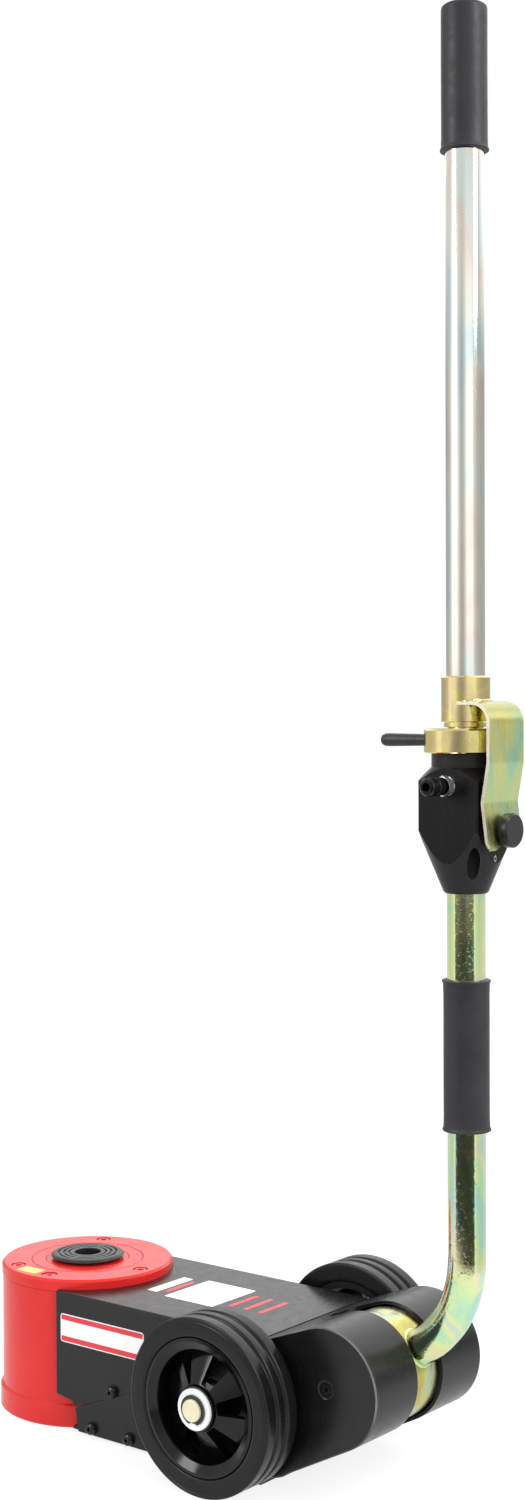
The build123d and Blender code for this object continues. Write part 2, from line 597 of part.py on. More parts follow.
# ---------------------------------------------------------------- handle: control ring

control_ring = turned([
    (SPIGOT_R + FIT, RING_Z[0]), (RING_R - 0.8, RING_Z[0]), (RING_R, RING_Z[0] + 0.8),
    (RING_R, RING_Z[1] - 1.6),
    (RING_R - 1.6, RING_Z[1]), (SPIGOT_R + FIT, RING_Z[1]),
], handle_at)
lever_z = 671.2
lever_tip = 89.0
control_ring -= rod(3.0 + SNUG, (HANDLE_X + 20, 0, lever_z), (1, 0, 0), 30)
save("control_ring", control_ring)

lever_pin = rod(3.0, (HANDLE_X + 21, 0, lever_z), (1, 0, 0), lever_tip - 21 - 6)
save("lever_pin", lever_pin)

lever_half = turned([
    (3.0 + SNUG, 37.2), (4.7, 37.2), (5.1, 38.4), (5.9, 81), (5.7, 84.5), (4.7, 87.2), (2.8, 88.7),
    (0, lever_tip), (0, 83.2), (3.0 + SNUG, 83.2),
])
lever_grip = Pos(HANDLE_X, 0, lever_z) * Rot(0, 90, 0) * lever_half
save("lever_grip", lever_grip)

# ---------------------------------------------------------------- handle: upper mast

upper_collar = turned([
    (SPIGOT_R + SNUG, COLLAR_Z[0]), (COLLAR_R - 0.6, COLLAR_Z[0]), (COLLAR_R, COLLAR_Z[0] + 0.6),
    (COLLAR_R, COLLAR_Z[1] - 1.4), (COLLAR_R - 1.4, COLLAR_Z[1]), (PIPE_R + SNUG, COLLAR_Z[1]),
    (PIPE_R + SNUG, 700.2), (SPIGOT_R + SNUG, 700.2),
], handle_at)
save("upper_collar", upper_collar)

upper_tube = ring(PIPE_R, PIPE_IN_R, 700.4, PIPE_END_Z, handle_at)
save("upper_tube", upper_tube)

top_grip = turned([
    (PIPE_R, TOP_GRIP_Z[0]), (GRIP_R + 0.8, TOP_GRIP_Z[0]), (GRIP_R + 0.8, TOP_GRIP_Z[0] + 3),
    (GRIP_R, TOP_GRIP_Z[0] + 4), (GRIP_R, PIPE_END_Z), (GRIP_R - 2, PIPE_END_Z + 4.4),
    (GRIP_R - 5.5, PIPE_END_Z + 6.4), (GRIP_R - 10, TOP_GRIP_Z[1]), (0, TOP_GRIP_Z[1]),
    (0, PIPE_END_Z), (PIPE_R, PIPE_END_Z),
], handle_at)
save("top_grip", top_grip)

strap_top = [(HANDLE_X - 8.3, 703.5), (HANDLE_X - 40.2, 703.5), (HANDLE_X - 40.2, 660)]
strap_side = [(HANDLE_X - 40.2, 660), (HANDLE_X - 40.2, 652), (HANDLE_X - 34.2, 618), (HANDLE_X - 39.6, 577)]
strap_path = Plane.XZ * (FilletPolyline(*strap_top, radius=17) + FilletPolyline(*strap_side, radius=11))
strap_section = Plane(origin=(HANDLE_X - 8.3, 0, 703.5), x_dir=(0, 1, 0), z_dir=(-1, 0, 0))
strap_section *= Rectangle(2 * STRAP_HALF, STRAP_T)
guard_strap = sweep(strap_section, path=strap_path)
guard_strap -= rod(COLLAR_R + SNUG, (HANDLE_X, 0, 695), (0, 0, 1), 20)
guard_strap -= rod(4.0 + FIT + 0.3, (HANDLE_X - 20, 0, KNOB_Z), (-1, 0, 0), 40)
near_corner = [
    (STRAP_HALF + 1, 570), (22.6, 570), (22.6, 577.6), (24.4, 579), (STRAP_HALF, 584), (STRAP_HALF + 1, 584),
]
far_corner = [(18, 577), (18, 570), (-STRAP_HALF - 1, 570), (-STRAP_HALF - 1, 592)]
end_plane = Plane(origin=(HANDLE_X - 30, 0, 0), x_dir=(0, 1, 0), z_dir=(1, 0, 0))
for corner in (near_corner, far_corner):
    guard_strap -= extrude(end_plane * make_face(Polyline(*corner, close=True)), amount=-25)
save("guard_strap", guard_strap)

# ---------------------------------------------------------------- handle: knob

knob_in = 41.2
knob_out = 50.2
knob_half = turned([
    (4.0 + SNUG, knob_in), (KNOB_R - 1, knob_in), (KNOB_R, knob_in + 1), (KNOB_R, knob_out - 1.6),
    (KNOB_R - 1.6, knob_out), (0, knob_out), (0, knob_out - 3), (4.0 + SNUG, knob_out - 3),
])
knob = Pos(HANDLE_X, 0, KNOB_Z) * Rot(0, -90, 0) * knob_half
save("knob", knob)

knob_stem = rod(4.0, (HANDLE_X - 20, 0, KNOB_Z), (-1, 0, 0), knob_out - 3 - 20)
save("knob_stem", knob_stem)
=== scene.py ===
import math
import bpy
import bmesh
from mathutils import Matrix, Vector


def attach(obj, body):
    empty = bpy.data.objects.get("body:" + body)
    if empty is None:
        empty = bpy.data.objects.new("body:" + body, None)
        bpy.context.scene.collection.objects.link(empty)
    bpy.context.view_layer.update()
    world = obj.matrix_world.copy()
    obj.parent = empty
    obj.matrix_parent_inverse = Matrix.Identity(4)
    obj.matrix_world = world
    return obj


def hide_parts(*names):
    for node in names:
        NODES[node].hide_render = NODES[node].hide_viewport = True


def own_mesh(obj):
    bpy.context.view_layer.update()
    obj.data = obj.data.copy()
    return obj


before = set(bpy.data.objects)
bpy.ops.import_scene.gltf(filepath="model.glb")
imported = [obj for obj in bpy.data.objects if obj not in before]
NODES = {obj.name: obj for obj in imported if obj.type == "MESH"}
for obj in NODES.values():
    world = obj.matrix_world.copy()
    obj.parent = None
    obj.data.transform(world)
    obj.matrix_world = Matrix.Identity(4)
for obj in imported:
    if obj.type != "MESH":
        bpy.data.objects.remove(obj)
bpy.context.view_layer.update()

MM = 0.001

# ------------------------------------------------------------------ camera

CAMERA_AT = Vector((-1.4366, 1.5134, 0.6971))
CAMERA_YAW = -0.8976
CAMERA_DIP = 0.0188
CAMERA_ROLL = -0.0043
CAMERA_LENS = 49.39
SENSOR_WIDTH = 36.0
CLIP = (0.05, 60.0)


def add_camera():
    """Camera behind the jack on its left, a little over two metres from the lifting ram."""
    level = math.cos(CAMERA_DIP)
    ahead = Vector((level * math.cos(CAMERA_YAW), level * math.sin(CAMERA_YAW), -math.sin(CAMERA_DIP)))
    right = ahead.cross(Vector((0, 0, 1))).normalized()
    up = right.cross(ahead)
    cosine, sine = math.cos(CAMERA_ROLL), math.sin(CAMERA_ROLL)
    right, up = right * cosine + up * sine, up * cosine - right * sine
    data = bpy.data.cameras.new("camera")
    data.lens = CAMERA_LENS
    data.sensor_width = SENSOR_WIDTH
    data.clip_start, data.clip_end = CLIP
    obj = bpy.data.objects.new("camera", data)
    bpy.context.scene.collection.objects.link(obj)
    matrix = Matrix((right, up, -ahead)).transposed().to_4x4()
    matrix.translation = CAMERA_AT
    obj.matrix_world = matrix
    bpy.context.scene.camera = obj


# ------------------------------------------------------------------ node helpers


MIX_SOCKETS = (0, 6, 7)     # a mix node's factor and its two colours
MIX_RESULT = 2              # and its mixed colour


def feed(tree, thing, socket):
    """Sets a socket from a number or a colour, or links it from another node's output."""
    if isinstance(thing, (int, float)):
        socket.default_value = thing
    elif isinstance(thing, tuple):
        socket.default_value = (*thing, 1.0)
    else:
        tree.links.new(thing, socket)


class Nodes:
    """Small builder for one procedural material; noise and places are in object space, in metres."""

    def __init__(self, name):
        self.mat = bpy.data.materials.new(name)
        self.mat.use_nodes = True
        self.tree = self.mat.node_tree
        self.bsdf = self.tree.nodes["Principled BSDF"]
        coords = self.tree.nodes.new("ShaderNodeTexCoord")
        self.coord = coords.outputs["Object"]
        self.normal = coords.outputs["Normal"]

    def node(self, kind, **settings):
        made = self.tree.nodes.new(kind)
        for key, value in settings.items():
            setattr(made, key, value)
        return made

    def link(self, out, into):
        self.tree.links.new(out, into)

    def value(self, socket, number):
        """Sets one of the shader's own sockets."""
        self.bsdf.inputs[socket].default_value = number

    def scaled(self, stretch):
        """The object's coordinates, each multiplied by its own share."""
        mapping = self.node("ShaderNodeMapping")
        mapping.inputs["Scale"].default_value = stretch
        self.link(self.coord, mapping.inputs["Vector"])
        return mapping.outputs["Vector"]

    def noise(self, scale, detail, rough=0.55, stretch=None, distort=0.0):
        tex = self.node("ShaderNodeTexNoise")
        tex.inputs["Scale"].default_value = scale
        tex.inputs["Detail"].default_value = detail
        tex.inputs["Roughness"].default_value = rough
        tex.inputs["Distortion"].default_value = distort
        self.link(self.scaled(stretch) if stretch else self.coord, tex.inputs["Vector"])
        return tex.outputs["Fac"]

    def along(self, vector, axis):
        """One component of a vector: X, Y or Z."""
        split = self.node("ShaderNodeSeparateXYZ")
        self.link(vector, split.inputs["Vector"])
        return split.outputs[axis]

    def ramp(self, fac, stops):
        """Colour or grey between (place, colour) stops."""
        ramp = self.node("ShaderNodeValToRGB")
        elements = ramp.color_ramp.elements
        while len(elements) < len(stops):
            elements.new(0.5)
        for element, (place, colour) in zip(elements, stops):
            element.position = place
            channels = colour if isinstance(colour, tuple) else (colour, colour, colour)
            element.color = (*channels, 1.0)
        self.link(fac, ramp.inputs["Fac"])
        return ramp.outputs["Color"]

    def spread(self, fac, low, high, from_low=0.3, from_high=0.7):
        """Maps a value to run from low to high, and holds it there past either end."""
        rng = self.node("ShaderNodeMapRange")
        rng.inputs["From Min"].default_value = from_low
        rng.inputs["From Max"].default_value = from_high
        rng.inputs["To Min"].default_value = low
        rng.inputs["To Max"].default_value = high
        self.link(fac, rng.inputs["Value"])
        return rng.outputs["Result"]

    def mix(self, fac, a, b):
        """Colour a where fac is 0 and colour b where it is 1."""
        mixer = self.node("ShaderNodeMix", data_type="RGBA")
        for socket, thing in zip(MIX_SOCKETS, (fac, a, b)):
            feed(self.tree, thing, mixer.inputs[socket])
        return mixer.outputs[MIX_RESULT]

    def maths(self, operation, a, b=None):
        made = self.node("ShaderNodeMath", operation=operation)
        feed(self.tree, a, made.inputs[0])
        if b is not None:
            feed(self.tree, b, made.inputs[1])
        return made.outputs[0]

    def edges(self, radius):
        """1 on sharp edges and 0 elsewhere."""
        bevel = self.node("ShaderNodeBevel", samples=6)
        bevel.inputs["Radius"].default_value = radius
        geometry = self.node("ShaderNodeNewGeometry")
        dot = self.node("ShaderNodeVectorMath", operation="DOT_PRODUCT")
        self.link(bevel.outputs["Normal"], dot.inputs[0])
        self.link(geometry.outputs["Normal"], dot.inputs[1])
        return self.spread(dot.outputs["Value"], 1.0, 0.0, 0.80, 0.98)

    def bump(self, *layers):
        """Stacks (height, strength, distance) layers into the shader's normal."""
        last = None
        for height, strength, distance in layers:
            bump = self.node("ShaderNodeBump")
            bump.inputs["Strength"].default_value = strength
            bump.inputs["Distance"].default_value = distance
            self.link(height, bump.inputs["Height"])
            if last is not None:
                self.link(last, bump.inputs["Normal"])
            last = bump.outputs["Normal"]
        self.link(last, self.bsdf.inputs["Normal"])

    def colour(self, out):
        self.link(out, self.bsdf.inputs["Base Color"])

    def roughness(self, out):
        self.link(out, self.bsdf.inputs["Roughness"])


# ------------------------------------------------------------------ materials

# Places, in metres, where one node's finish changes.
NECK_Z = 0.6480             # the control block's turned neck starts
NOSE_Y = 0.0378             # the air fitting's hexagon ends
RIM_INNER = (0.1110, 0.1135)    # the rims' inner side ends
CHAMFER_SHEEN_HEIGHTS = (0.060, 0.105)   # the end covers' chamfer carries a painted highlight above this height
STEP = 0.0005               # half the width of a sudden change


def red_gloss():
    """Glossy paint with a painted highlight along its edges: they are mixed halfway to a paler red."""
    n = Nodes("red_gloss")
    base = n.ramp(n.noise(14, 3), [(0.3, (0.62, 0.015, 0.013)), (0.7, (0.69, 0.019, 0.017))])
    # Painted highlight on sharp edges.
    n.colour(n.mix(n.maths("MULTIPLY", n.edges(0.0009), 0.5), base, (0.86, 0.16, 0.13)))
    n.roughness(n.spread(n.noise(60, 5), 0.16, 0.27))
    n.value("Specular IOR Level", 0.42)
    n.bump((n.noise(900, 3), 0.10, 0.0004), (n.noise(90, 2), 0.05, 0.0008))
    return n.mat


def black_coat(name="black_coat", painted_chamfer_sheen=False):
    """Satin powder coat; the chamfer option paints a highlight on the chamfer: a paler line that fades out
    lower down.
    """
    n = Nodes(name)
    base = n.ramp(n.noise(22, 4), [(0.3, (0.0045, 0.0045, 0.0052)), (0.72, (0.0085, 0.0083, 0.0090))])
    tone = n.mix(n.maths("MULTIPLY", n.edges(0.0008), n.noise(160, 4)), base, (0.10, 0.10, 0.105))
    if painted_chamfer_sheen:
        # Painted highlight: slanted chamfer faces turn paler towards the top, standing in for the light
        # they catch.
        side = n.maths("ABSOLUTE", n.along(n.normal, "Y"))
        tilted = n.spread(side, 0.0, 1.0, 0.60, 0.66)
        slope = n.maths("MULTIPLY", tilted, n.spread(side, 1.0, 0.0, 0.75, 0.81))
        upper = n.spread(n.along(n.coord, "Z"), 0.12, 1.0, *CHAMFER_SHEEN_HEIGHTS)
        sheen_line = n.maths("MULTIPLY", n.maths("MULTIPLY", slope, upper), n.spread(n.noise(35, 3), 0.35, 1.0))
        tone = n.mix(sheen_line, tone, (0.18, 0.18, 0.185))
    n.colour(tone)
    n.roughness(n.spread(n.noise(90, 4), 0.21, 0.30))
    n.value("Specular IOR Level", 0.38)
    n.bump((n.noise(2600, 3), 0.07, 0.0004), (n.noise(260, 2), 0.015, 0.0006))
    return n.mat


def black_anodised():
    """Black anodised block, paler on its downward-sloping faces and on its neck above NECK_Z; on the
    downward-sloping faces the paler tone is painted sheen, standing in for light they catch.
    """
    n = Nodes("black_anodised")
    milled = n.ramp(n.noise(30, 4), [(0.3, (0.0050, 0.0040, 0.0042)), (0.7, (0.0080, 0.0066, 0.0068))])
    # The paler tone on the next line is painted sheen where faces slope downwards, and a plain paler tone
    # on the neck above NECK_Z.
    turned = n.ramp(n.noise(30, 4), [(0.3, (0.0170, 0.0155, 0.0165)), (0.7, (0.0230, 0.0212, 0.0225))])
    painted_underside_sheen = n.spread(n.along(n.normal, "Z"), 1.0, 0.0, -0.25, -0.15)
    neck = n.spread(n.along(n.coord, "Z"), 0.0, 1.0, NECK_Z - STEP, NECK_Z + STEP)
    base = n.mix(n.maths("MAXIMUM", painted_underside_sheen, neck), milled, turned)
    n.colour(n.mix(n.maths("MULTIPLY", n.edges(0.0007), n.noise(220, 4)), base, (0.12, 0.115, 0.115)))
    n.roughness(n.spread(n.noise(500, 4, stretch=(1, 1, 0.15)), 0.24, 0.36))
    n.value("Specular IOR Level", 0.19)
    n.bump((n.noise(900, 3, stretch=(1, 1, 0.2)), 0.06, 0.0003))
    return n.mat


def zinc_yellow(name, stops, drift_scale, rough=(0.07, 0.15), along=0.5, pits=0.0):
    """Chromated zinc with slowly drifting interference colours, fine drawing lines, specks and pits."""
    n = Nodes(name)
    drift = n.noise(drift_scale, 2.5, 0.5, stretch=(1, 1, along), distort=1.1)
    film = n.ramp(drift, stops)
    specks = n.spread(n.noise(900, 2, stretch=(1, 1, 0.5)), 0.0, 0.20, 0.62, 0.74)
    n.colour(n.mix(specks, film, (0.30, 0.32, 0.22)))
    n.value("Metallic", 1.0)
    n.roughness(n.spread(n.noise(240, 5, stretch=(1, 1, 0.25)), *rough))
    layers = [(n.noise(1400, 4, stretch=(1, 1, 0.2)), 0.08, 0.0003), (n.noise(60, 2), 0.05, 0.001)]
    if pits:
        pitted = n.spread(n.noise(430, 2.5, stretch=(1, 1, 0.6)), 0.0, 1.0, 0.58, 0.72)
        layers.append((pitted, pits, 0.0006))
    n.bump(*layers)
    return n.mat


def strap_zinc():
    """Chromated strap with painted shade over its upward-facing top bend; its sheared edges show pinker
    metal.
    """
    n = Nodes("zinc_yellow_strap")
    drift = n.noise(16, 2.5, 0.5, stretch=(1, 1, 0.35), distort=1.1)
    film = n.ramp(drift, YELLOW_STRAP)
    # Painted shade: faces that point upwards are pulled toward a darker olive, standing in for the top
    # bend catching less light.
    painted_top_shade = n.spread(n.along(n.normal, "Z"), 0.0, 0.85, 0.12, 0.60)
    film = n.mix(painted_top_shade, film, (0.34, 0.31, 0.12))
    sheared = n.spread(n.maths("ABSOLUTE", n.along(n.normal, "Y")), 0.0, 1.0, 0.80, 0.92)
    edge = n.ramp(n.noise(70, 3), [(0.35, (0.62, 0.53, 0.48)), (0.65, (0.66, 0.60, 0.46))])
    n.colour(n.mix(sheared, film, edge))
    n.value("Metallic", 1.0)
    n.roughness(n.spread(n.noise(240, 5, stretch=(1, 1, 0.25)), 0.24, 0.38))
    n.bump((n.noise(1400, 4, stretch=(1, 1, 0.2)), 0.08, 0.0003), (n.noise(60, 2), 0.05, 0.001))
    return n.mat


def fitting():
    """Air fitting: a plated hexagon at its foot and a blackened nose beyond it."""
    n = Nodes("air_fitting")
    nose = n.spread(n.along(n.coord, "Y"), 0.0, 1.0, NOSE_Y - STEP / 5, NOSE_Y + STEP / 5)
    plated = n.ramp(n.noise(60, 5), [(0.3, (0.74, 0.74, 0.72)), (0.7, (0.86, 0.86, 0.84))])
    black = n.ramp(n.noise(60, 5), [(0.3, (0.012, 0.012, 0.012)), (0.7, (0.024, 0.024, 0.024))])
    n.colour(n.mix(nose, plated, black))
    n.value("Metallic", 0.9)
    n.roughness(n.spread(n.noise(480, 4), 0.14, 0.26))
    n.bump((n.noise(1800, 3), 0.06, 0.0003))
    return n.mat


def zinc_bright():
    """Clear-passivated tube with faint warm and cool interference bands."""
    n = Nodes("zinc_bright")
    drift = n.noise(24, 3, stretch=(1, 1, 0.22), distort=0.8)
    n.colour(n.ramp(drift, BRIGHT_TUBE))
    n.value("Metallic", 1.0)
    n.roughness(n.spread(n.noise(300, 4, stretch=(1, 1, 0.1)), 0.06, 0.12))
    n.bump((n.noise(1200, 3, stretch=(1, 1, 0.05)), 0.04, 0.0002))
    return n.mat


def metal(name, dark, light, rough=(0.25, 0.4), scale=40.0, metallic=1.0):
    """Plain metal between two tones; scale sets the size of its grain."""
    n = Nodes(name)
    n.colour(n.ramp(n.noise(scale, 5), [(0.3, dark), (0.7, light)]))
    n.value("Metallic", metallic)
    n.roughness(n.spread(n.noise(scale * 8, 4), *rough))
    n.bump((n.noise(scale * 30, 3), 0.06, 0.0003))
    return n.mat


def dark_oxide(name, dark, light, rough):
    """Blackened steel: a dark skin that wears to bare metal on its edges."""
    n = Nodes(name)
    base = n.ramp(n.noise(60, 5), [(0.3, dark), (0.7, light)])
    n.colour(n.mix(n.maths("MULTIPLY", n.edges(0.0006), 0.6), base, (0.30, 0.30, 0.30)))
    n.value("Metallic", 0.6)
    n.roughness(n.spread(n.noise(300, 4), *rough))
    n.bump((n.noise(1500, 3), 0.08, 0.0003))
    return n.mat


def rubber(name, dark, light, rough=(0.5, 0.68), grain=0.12, gloss=0.4):
    """Rubber or friction lining, with a fine grain over a broad unevenness."""
    n = Nodes(name)
    n.colour(n.ramp(n.noise(35, 5), [(0.3, dark), (0.72, light)]))
    n.roughness(n.spread(n.noise(180, 4), *rough))
    n.value("Specular IOR Level", gloss)
    n.bump((n.noise(2200, 4), grain, 0.0003), (n.noise(120, 2), 0.05, 0.0006))
    return n.mat


def plastic(name, dark, light, rough, gloss=0.45):
    """Moulded plastic that wears paler along its edges."""
    n = Nodes(name)
    base = n.ramp(n.noise(25, 4), [(0.3, dark), (0.7, light)])
    n.colour(n.mix(n.maths("MULTIPLY", n.edges(0.0006), 0.4), base, tuple(4.0 * v for v in light)))
    n.roughness(n.spread(n.noise(150, 4), *rough))
    n.value("Specular IOR Level", gloss)
    n.bump((n.noise(1800, 3), 0.08, 0.0003))
    return n.mat


def rim_plastic():
    """Moulded rim: glossy outside, dull on the inner side that faces the chassis."""
    n = Nodes("rim_plastic")
    base = n.ramp(n.noise(25, 4), [(0.3, (0.0018, 0.0018, 0.0020)), (0.7, (0.0038, 0.0037, 0.0042))])
    n.colour(n.mix(n.maths("MULTIPLY", n.edges(0.0006), 0.4), base, (0.015, 0.015, 0.017)))
    inner = n.spread(n.maths("ABSOLUTE", n.along(n.coord, "Y")), 0.45, 0.0, *RIM_INNER)
    n.roughness(n.maths("ADD", n.spread(n.noise(150, 4), 0.10, 0.17), inner))
    n.value("Specular IOR Level", 0.36)
    n.bump((n.noise(1800, 3), 0.04, 0.0003))
    return n.mat


def printed(name, colour):
    """Plain printed film with a faint mottle and a satin top."""
    n = Nodes(name)
    shade = tuple(0.95 * v for v in colour)
    n.colour(n.ramp(n.noise(120, 5), [(0.3, shade), (0.6, colour)]))
    n.roughness(n.spread(n.noise(200, 4), 0.28, 0.42))
    n.bump((n.noise(1500, 3), 0.05, 0.0002))
    return n.mat


# Interference colours of the zinc plating, by place on its drifting noise.
BRIGHT_TUBE = [(0.36, (0.70, 0.80, 0.79)), (0.44, (0.82, 0.87, 0.78)), (0.50, (0.88, 0.84, 0.74)),
               (0.57, (0.84, 0.74, 0.66)), (0.65, (0.76, 0.83, 0.78))]
YELLOW_TUBE = [(0.33, (0.47, 0.74, 0.62)), (0.40, (0.52, 0.80, 0.52)), (0.46, (0.66, 0.84, 0.44)),
               (0.52, (0.78, 0.82, 0.40)), (0.57, (0.78, 0.74, 0.54)), (0.62, (0.54, 0.76, 0.64)),
               (0.70, (0.60, 0.82, 0.48))]
YELLOW_DRUM = [(0.34, (0.42, 0.40, 0.12)), (0.44, (0.50, 0.44, 0.12)), (0.53, (0.56, 0.54, 0.20)),
               (0.61, (0.44, 0.56, 0.36)), (0.70, (0.34, 0.30, 0.14))]
YELLOW_RING = [(0.28, (0.74, 0.60, 0.20)), (0.42, (0.78, 0.63, 0.31)), (0.52, (0.84, 0.74, 0.27)),
               (0.62, (0.78, 0.60, 0.36)), (0.76, (0.74, 0.72, 0.28))]
YELLOW_STRAP = [(0.26, (0.80, 0.68, 0.22)), (0.40, (0.76, 0.74, 0.25)), (0.52, (0.58, 0.72, 0.36)),
                (0.62, (0.40, 0.68, 0.46)), (0.72, (0.74, 0.70, 0.25)), (0.82, (0.80, 0.60, 0.36))]

MATERIALS = {
    "red": red_gloss(),
    "coat": black_coat(),
    # End covers: the coat with a painted highlight along the upper chamfer.
    "coat_painted_sheen": black_coat("black_coat_painted_sheen", True),
    "anodised": black_anodised(),
    "yellow_tube": zinc_yellow("zinc_yellow_tube", YELLOW_TUBE, 28.0, pits=0.11),
    "yellow_drum": zinc_yellow("zinc_yellow_drum", YELLOW_DRUM, 34.0, (0.18, 0.30), 0.7),
    "fitting": fitting(),
    "yellow_ring": zinc_yellow("zinc_yellow_ring", YELLOW_RING, 26.0, (0.06, 0.13), 0.8),
    "yellow_strap": strap_zinc(),
    "bright": zinc_bright(),
    "steel": metal("machined_steel", (0.40, 0.40, 0.41), (0.52, 0.52, 0.53)),
    "silver": metal("silver_zinc", (0.62, 0.62, 0.60), (0.78, 0.78, 0.76), (0.16, 0.28), 60.0),
    "oxide": dark_oxide("black_oxide", (0.026, 0.026, 0.027), (0.052, 0.052, 0.051), (0.24, 0.36)),
    "gloss_black": dark_oxide("black_nickel", (0.012, 0.012, 0.012), (0.024, 0.024, 0.024), (0.10, 0.20)),
    # The vent screen is darker than its own blackened steel: painted shade standing in for the depth of
    # the slot it sits in.
    "vent": dark_oxide("vent_mesh_shaded", (0.004, 0.004, 0.004), (0.010, 0.010, 0.010), (0.50, 0.65)),
    "chrome": metal("hard_chrome", (0.76, 0.77, 0.79), (0.84, 0.85, 0.86), (0.06, 0.13)),
    "zinc_white": metal("white_zinc", (0.84, 0.87, 0.88), (0.93, 0.95, 0.95), (0.34, 0.46), 40.0, 0.15),
    "axle_end": metal("pale_yellow_zinc", (0.78, 0.72, 0.48), (0.88, 0.80, 0.58), (0.34, 0.46), 90.0, 0.4),
    "cast": metal("cast_alloy", (0.45, 0.45, 0.45), (0.6, 0.6, 0.6), (0.45, 0.6), 60.0),
    "bronze": metal("sintered_bronze", (0.42, 0.27, 0.12), (0.58, 0.40, 0.20), (0.35, 0.5)),
    "seal": rubber("seal_rubber", (0.012, 0.012, 0.012), (0.02, 0.02, 0.02)),
    "lining": rubber("friction_lining", (0.16, 0.10, 0.06), (0.28, 0.19, 0.12)),
    "tyre": rubber("tyre_rubber", (0.0030, 0.0030, 0.0034), (0.0065, 0.0064, 0.0070), (0.24, 0.36),
                   0.07, 0.30),
    "tread": rubber("tread_rubber", (0.0035, 0.0035, 0.0038), (0.0072, 0.0071, 0.0076), (0.20, 0.36),
                    0.09, 0.36),
    "grip": rubber("grip_rubber", (0.018, 0.0178, 0.021), (0.026, 0.0255, 0.030), (0.42, 0.56), 0.16, 0.4),
    "rim": rim_plastic(),
    "knob": plastic("knob_plastic", (0.012, 0.012, 0.012), (0.020, 0.020, 0.020), (0.26, 0.36), 0.30),
    "lever": plastic("lever_sleeve", (0.022, 0.0215, 0.022), (0.032, 0.031, 0.032), (0.4, 0.5)),
    "white_print": printed("white_print", (0.93, 0.93, 0.93)),
    "red_print": printed("red_print", (0.72, 0.035, 0.05)),
    "yellow_print": printed("yellow_print", (0.88, 0.72, 0.16)),
}

NODE_MATERIALS = {
    "red": ["base_flange", "cylinder_body", "top_cover", "ram_1_head", "ram_2_head", "cover_screws",
            "filler_plug"],
    "coat": ["chassis_cover", "bottom_tray", "rear_housing", "end_cover_screws", "side_screws",
             "frame_plate_left", "frame_plate_right", "axle_spacers"],
    "coat_painted_sheen": ["end_cover_left", "end_cover_right"],
    "steel": ["pressure_tube", "drum_shaft", "brake_carriers", "pump_block", "knob_stem", "lever_pin",
              "piston_spring", "air_cylinder", "pump_plunger"],
    "silver": ["tube_screw"],
    "fitting": ["coupling_body"],
    "chrome": ["ram_1", "ram_2"],
    "oxide": ["saddle", "retaining_rings"],
    "gloss_black": ["coupling_sleeve"],
    "vent": ["vent_screen"],
    "seal": ["gland_seal", "ram_1_seal", "ram_2_seal"],
    "lining": ["friction_pads"],
    "zinc_white": ["wheel_washers"],
    "axle_end": ["axle"],
    "cast": ["air_cylinder_cap", "air_piston"],
    "tyre": ["tyre_left", "tyre_right"],
    "rim": ["rim_left", "rim_right"],
    "bronze": ["bearings_left", "bearings_right"],
    "yellow_tube": ["handle_tube"],
    "yellow_drum": ["drum_hub"],
    "yellow_ring": ["control_ring", "upper_collar", "spigot"],
    "yellow_strap": ["guard_strap"],
    "grip": ["lower_grip", "top_grip"],
    "anodised": ["control_block"],
    "bright": ["upper_tube"],
    "knob": ["knob"],
    "lever": ["lever_grip"],
}

for key, names in NODE_MATERIALS.items():
    for name in names:
        mesh = NODES[name].data
        mesh.materials.clear()
        mesh.materials.append(MATERIALS[key])


# ------------------------------------------------------------------ mesh helpers


def link_mesh(name, mesh):
    """Object for a mesh, in the scene."""
    obj = bpy.data.objects.new(name, mesh)
    bpy.context.scene.collection.objects.link(obj)
    return obj


def build(name, verts, faces, material, sharp=35.0):
    """Object from vertices in millimetres, smooth apart from edges sharper than an angle."""
    mesh = bpy.data.meshes.new(name)
    mesh.from_pydata([(x * MM, y * MM, z * MM) for x, y, z in verts], [], faces)
    work = bmesh.new()
    work.from_mesh(mesh)
    bmesh.ops.recalc_face_normals(work, faces=work.faces)
    work.to_mesh(mesh)
    work.free()
    mesh.shade_smooth()
    mesh.set_sharp_from_angle(angle=math.radians(sharp))
    mesh.materials.append(material)
    return link_mesh(name, mesh)


CORNER_SHARE = 0.45         # of a side, at most, that a rounded corner may take


def rounded(corners, steps=4):
    """Closed outline with each (a, b, radius) corner replaced by a curve of short chords."""
    out = []
    count = len(corners)
    for i, (a, b, radius) in enumerate(corners):
        if radius == 0:
            out.append((a, b))
            continue
        here = Vector((a, b))
        before = Vector(corners[i - 1][:2]) - here
        after = Vector(corners[(i + 1) % count][:2]) - here
        reach = min(radius, CORNER_SHARE * before.length, CORNER_SHARE * after.length)
        start = here + before.normalized() * reach
        end = here + after.normalized() * reach
        for k in range(steps + 1):
            t = k / steps
            point = start * (1 - t) ** 2 + here * 2 * t * (1 - t) + end * t ** 2
            out.append((point.x, point.y))
    return out


def lathe(name, profile, place, material, segments=160, wobble=None):
    """Closed (radius, distance) profile turned round an axis; place(r, d, angle) gives the point."""
    verts, faces = [], []
    count = len(profile)
    for i in range(segments):
        angle = 2 * math.pi * i / segments
        for r, d in profile:
            extra = wobble(r, d, angle) if wobble else 0.0
            verts.append(place(r + extra, d, angle))
    for i in range(segments):
        j = (i + 1) % segments
        for k in range(count):
            m = (k + 1) % count
            faces.append((i * count + k, j * count + k, j * count + m, i * count + m))
    return build(name, verts, faces, material)


# ------------------------------------------------------------------ tyres

AXLE_X, AXLE_Z = -260.0, 80.0
RIM_R, TYRE_R = 61.7, 80.0
TYRE_IN, TYRE_OUT = 92.6, 135.3
GROOVES = (107.4, 120.4)
TYRE_SEGMENTS = 220
SIDE_FACE = 0.6             # a face whose normal leans further along the axle is on the tyre's side


